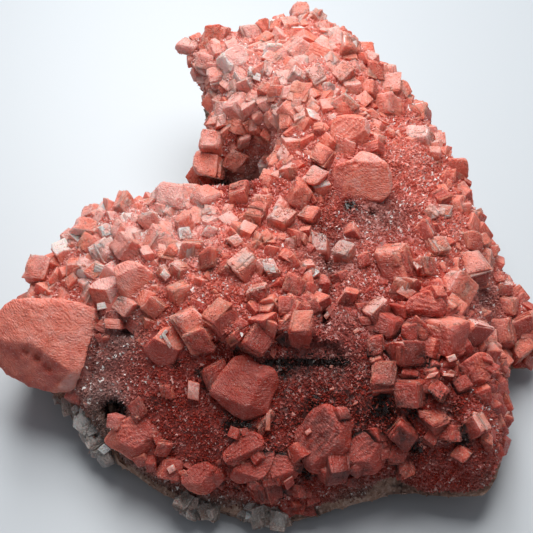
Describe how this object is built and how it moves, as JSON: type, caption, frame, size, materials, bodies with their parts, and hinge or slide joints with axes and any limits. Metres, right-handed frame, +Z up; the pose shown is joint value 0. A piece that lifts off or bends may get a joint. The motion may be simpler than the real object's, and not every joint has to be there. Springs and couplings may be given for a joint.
{
  "type": "red calcite cluster on matrix",
  "caption": "Hand-sized C-shaped plate of host rock, its top and sides crusted with red rhombohedral calcite crystals, with paler calcite on the bare front edge.",
  "frame": {"origin": "on the flat underside, under the middle of the plate", "axes": "+Z up, +X to the viewer's right, +Y away from someone who looks at the display face; the bay between the lobes opens towards -X"},
  "size_m": [0.1623, 0.1737, 0.0638],
  "materials": {
    "host_rock": "rough broken grey-brown rock, dusted with tiny red crystals",
    "red_calcite": "translucent salmon to maroon calcite, frosted rhomb faces, glittering fine druse between them",
    "pale_calcite": "whitish translucent calcite with a dusty bloom"
  },
  "bodies": {
    "root": {"host_rock": "host_rock", "red_calcite_crust": "red_calcite", "pale_calcite_left": "pale_calcite", "pale_calcite_front": "pale_calcite", "pale_calcite_base": "pale_calcite"}
  },
  "joints": []
}
